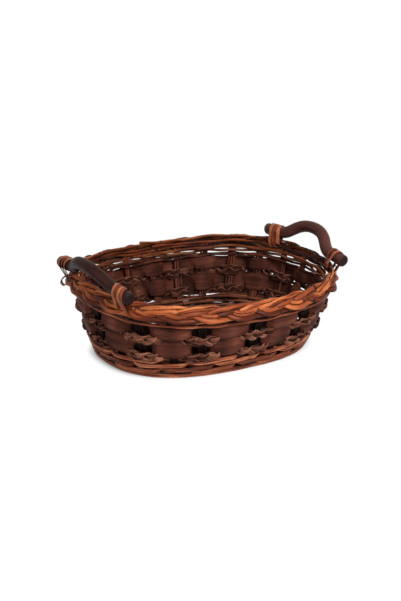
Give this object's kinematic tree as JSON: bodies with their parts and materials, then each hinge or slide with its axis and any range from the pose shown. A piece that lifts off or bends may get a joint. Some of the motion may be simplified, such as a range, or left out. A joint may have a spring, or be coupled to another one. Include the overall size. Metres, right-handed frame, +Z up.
{
  "type": "bread basket",
  "caption": "Oval woven bread basket with flared openwork walls, a plaited border and two lashed bentwood ear handles.",
  "frame": {"origin": "on the table under the middle of the base", "axes": "+X along the length towards one handle, +Y across the width, +Z up"},
  "size_m": [0.3336, 0.2617, 0.1294],
  "materials": {
    "stake_willow": "satin",
    "rod_willow": "satin",
    "chip_strip": "matte",
    "husk_braid": "matte",
    "border_willow": "satin",
    "handle_wood": "satin",
    "lashing_cane": "matte"
  },
  "bodies": {
    "root": {"long_stake_1": "stake_willow", "long_stake_2": "stake_willow", "long_stake_3": "stake_willow", "long_stake_4": "stake_willow", "long_stake_5": "stake_willow", "cross_stake_1": "stake_willow", "cross_stake_2": "stake_willow", "cross_stake_3": "stake_willow", "cross_stake_4": "stake_willow", "cross_stake_5": "stake_willow", "cross_stake_6": "stake_willow", "cross_stake_7": "stake_willow", "base_strip_left_1": "chip_strip", "base_strip_left_2": "chip_strip", "base_strip_left_3": "chip_strip", "base_strip_left_4": "chip_strip", "base_strip_right_1": "chip_strip", "base_strip_right_2": "chip_strip", "base_strip_right_3": "chip_strip", "base_strip_right_4": "chip_strip", "foot_rod_1": "rod_willow", "foot_rod_2": "rod_willow", "foot_rod_3": "rod_willow", "foot_rod_4": "rod_willow", "foot_rod_5": "rod_willow", "lower_braid": "husk_braid", "lower_strip": "chip_strip", "upper_braid": "husk_braid", "upper_strip": "chip_strip", "rim_rod_1": "rod_willow", "rim_rod_2": "rod_willow", "border_strand_1": "border_willow", "border_strand_2": "border_willow", "border_strand_3": "border_willow", "handle_left": "handle_wood", "handle_right": "handle_wood", "lashing_left_front": "lashing_cane", "lashing_left_back": "lashing_cane", "lashing_right_front": "lashing_cane", "lashing_right_back": "lashing_cane"}
  },
  "joints": []
}
